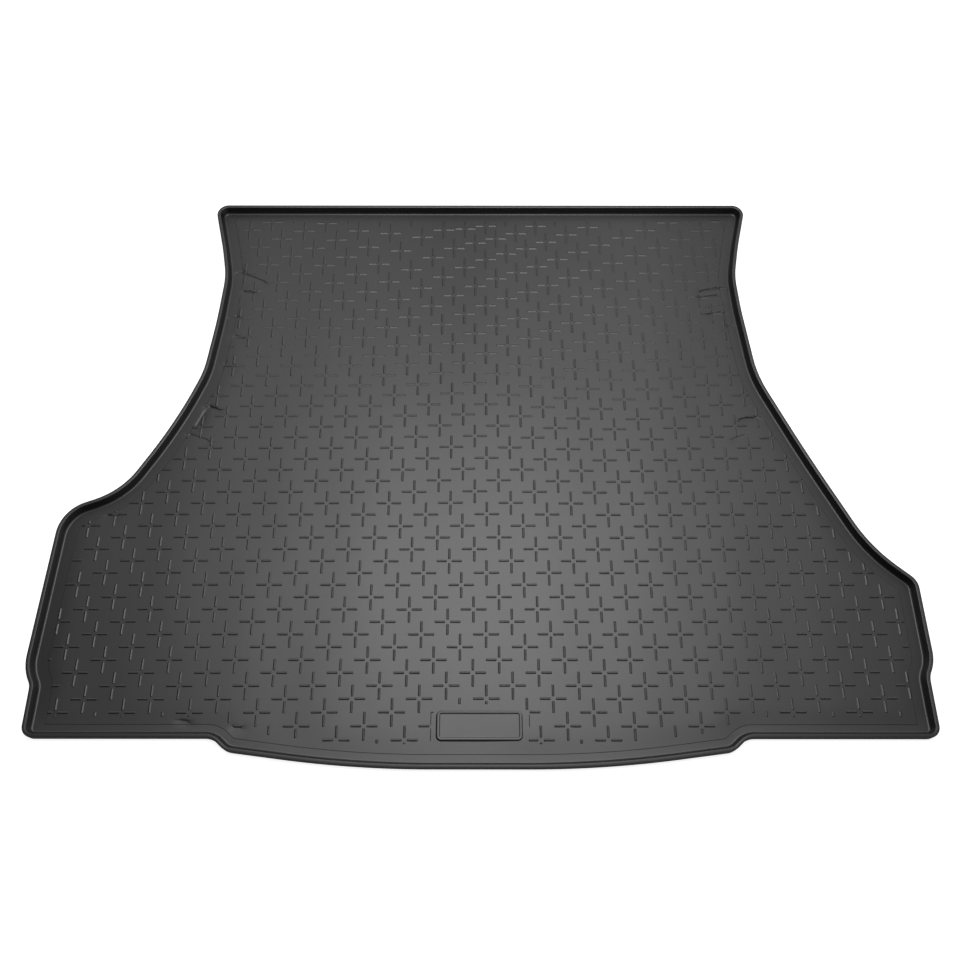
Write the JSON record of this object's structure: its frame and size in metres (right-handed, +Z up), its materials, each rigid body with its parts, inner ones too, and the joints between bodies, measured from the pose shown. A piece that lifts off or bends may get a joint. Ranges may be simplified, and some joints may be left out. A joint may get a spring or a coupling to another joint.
{
  "type": "car boot liner",
  "caption": "Moulded black rubber tray for the floor of a car's boot, with a raised lip all round, a tread of small crosses and a plain badge plate.",
  "frame": {"origin": "middle of the underside, under the centre of the bounding box", "axes": "+X to the right and +Y towards the seats, as seen from behind the car; +Z up, away from the boot floor"},
  "size_m": [1.372, 1.028, 0.0146],
  "materials": {
    "moulded_rubber": "matt black, fine moulded grain"
  },
  "bodies": {
    "root": {"boot_liner": "moulded_rubber"}
  },
  "joints": []
}
